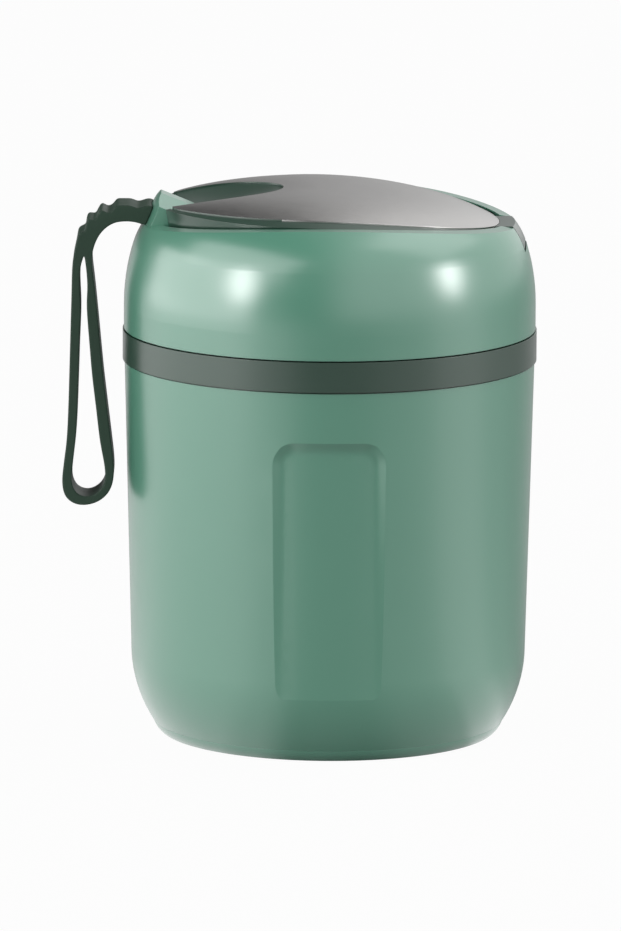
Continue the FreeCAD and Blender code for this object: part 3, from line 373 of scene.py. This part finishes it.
def empty_tree(owner):
    """The node tree of a material or world, without nodes."""
    owner.use_nodes = True
    owner.node_tree.nodes.clear()
    return owner.node_tree


def mix_to_output(tree, output, share, first, second):
    """Ends a tree in a mix of two shaders, where share is how much the second counts."""
    shaders = {"Fac": share, 1: first.outputs[0], 2: second.outputs[0]}
    mix = add_node(tree, "ShaderNodeMixShader", shaders)
    add_node(tree, output, {"Surface": mix.outputs[0]})


def floor_glow(tree):
    """The glow's share at a point of the floor, from the way it lies off the jar."""
    place = add_node(tree, "ShaderNodeTexCoord")
    split = add_node(tree, "ShaderNodeSeparateXYZ", {"Vector": place.outputs["Object"]})
    front = calculate(tree, "MULTIPLY", split.outputs["Y"], -1.0)
    turn = calculate(tree, "ARCTAN2", split.outputs["X"], front)
    share = add_node(
        tree, "ShaderNodeMapRange", {"Value": turn, "From Min": -math.pi, "From Max": math.pi}
    )
    ramp = add_node(tree, "ShaderNodeValToRGB", {"Fac": share.outputs["Result"]})
    ramp.color_ramp.interpolation = "EASE"
    stops = ramp.color_ramp.elements
    while len(stops) < len(FLOOR_GLOW):
        stops.new(1.0)
    for stop, (azimuth, glow) in zip(stops, FLOOR_GLOW):
        stop.position = (azimuth + 180) / 360
        stop.color = (glow, glow, glow, 1)
    return ramp.outputs["Color"]


def make_floor_material():
    """Pale diffuse floor. The camera and the gloss see it partly as plain white."""
    material = bpy.data.materials.new("pale_floor")
    tree = empty_tree(material)
    albedo = (FLOOR_ALBEDO, FLOOR_ALBEDO, FLOOR_ALBEDO, 1)
    diffuse = add_node(tree, "ShaderNodeBsdfDiffuse", {"Color": albedo})
    white = add_node(tree, "ShaderNodeEmission", {"Color": WHITE, "Strength": 1.0})
    path = add_node(tree, "ShaderNodeLightPath")
    in_gloss = calculate(tree, "MULTIPLY", floor_glow(tree), path.outputs["Is Glossy Ray"])
    in_camera = calculate(tree, "MULTIPLY", path.outputs["Is Camera Ray"], CAMERA_WHITE)
    share = calculate(tree, "MAXIMUM", in_gloss, in_camera)
    mix_to_output(tree, "ShaderNodeOutputMaterial", share, diffuse, white)
    return material


def make_floor():
    mesh = bpy.data.meshes.new("floor")
    half = FLOOR_HALF_WIDTH
    corners = [(-half, -half, 0), (half, -half, 0), (half, half, 0), (-half, half, 0)]
    mesh.from_pydata(corners, [], [(0, 1, 2, 3)])
    mesh.materials.append(make_floor_material())
    floor = add_object("floor", mesh)
    floor.location.z = -FLOOR_DROP


# The room's light changes from left to right between these shares of the way across
ROOM_DARK_TO = -0.2
ROOM_BRIGHT_FROM = 0.3
ROOM_DARK = 0.12
ROOM_BRIGHT = 1.2

# Area lamps that face the jar's middle: name, azimuth (0 is the camera's side, + is right),
# elevation, distance, width, height, radiance and shape
JAR_MIDDLE = Vector((0, 0, 0.09))
SOFTBOXES = (
    ("left_wall", -82, 4, 1.1, 1.7, 0.85, 2.1, "RECTANGLE"),
    ("left_upper", -62, 38, 1.1, 1.4, 0.6, 1.6, "RECTANGLE"),
    ("left_key", -51, 17, 1.1, 0.32, 0.36, 7.2, "ELLIPSE"),
    ("right_key", 73, 17, 1.1, 0.28, 0.34, 9.5, "ELLIPSE"),
    ("top_right", 95, 55, 1.2, 0.9, 0.9, 0.9, "RECTANGLE"),
)


def make_world():
    """White for the camera; for the light, a room that is dark on the left."""
    world = bpy.data.worlds.new("studio")
    bpy.context.scene.world = world
    tree = empty_tree(world)
    place = add_node(tree, "ShaderNodeTexCoord")
    split = add_node(tree, "ShaderNodeSeparateXYZ", {"Vector": place.outputs["Generated"]})
    side = add_node(
        tree, "ShaderNodeMapRange",
        {
            "Value": split.outputs["X"], "From Min": ROOM_DARK_TO, "From Max": ROOM_BRIGHT_FROM,
            "To Min": ROOM_DARK, "To Max": ROOM_BRIGHT,
        },
        interpolation_type="SMOOTHSTEP",
    )
    room = add_node(tree, "ShaderNodeBackground", {"Strength": side.outputs["Result"]})
    white = add_node(tree, "ShaderNodeBackground", {"Color": WHITE, "Strength": 1.0})
    path = add_node(tree, "ShaderNodeLightPath")
    seen = path.outputs["Is Camera Ray"]
    mix_to_output(tree, "ShaderNodeOutputWorld", seen, room, white)


def add_softbox(name, azimuth, elevation, distance, width, height, radiance, shape):
    data = bpy.data.lights.new(name, "AREA")
    data.shape = shape
    data.size = width
    data.size_y = height
    area = width * height * (math.pi / 4 if shape == "ELLIPSE" else 1.0)
    data.energy = radiance * area * math.pi
    lamp = add_object(name, data)
    turn = math.radians(azimuth)
    lift = math.radians(elevation)
    away = Vector((
        math.sin(turn) * math.cos(lift), -math.cos(turn) * math.cos(lift), math.sin(lift)
    ))
    lamp.location = JAR_MIDDLE + away * distance
    lamp.rotation_euler = away.to_track_quat("Z", "Y").to_euler()


bpy.context.scene.view_settings.view_transform = "Standard"
finishes = make_finishes()
finish_nodes(finishes)
make_plate(finishes)
make_thread(finishes)
point_camera()
make_world()
for softbox in SOFTBOXES:
    add_softbox(*softbox)
make_floor()
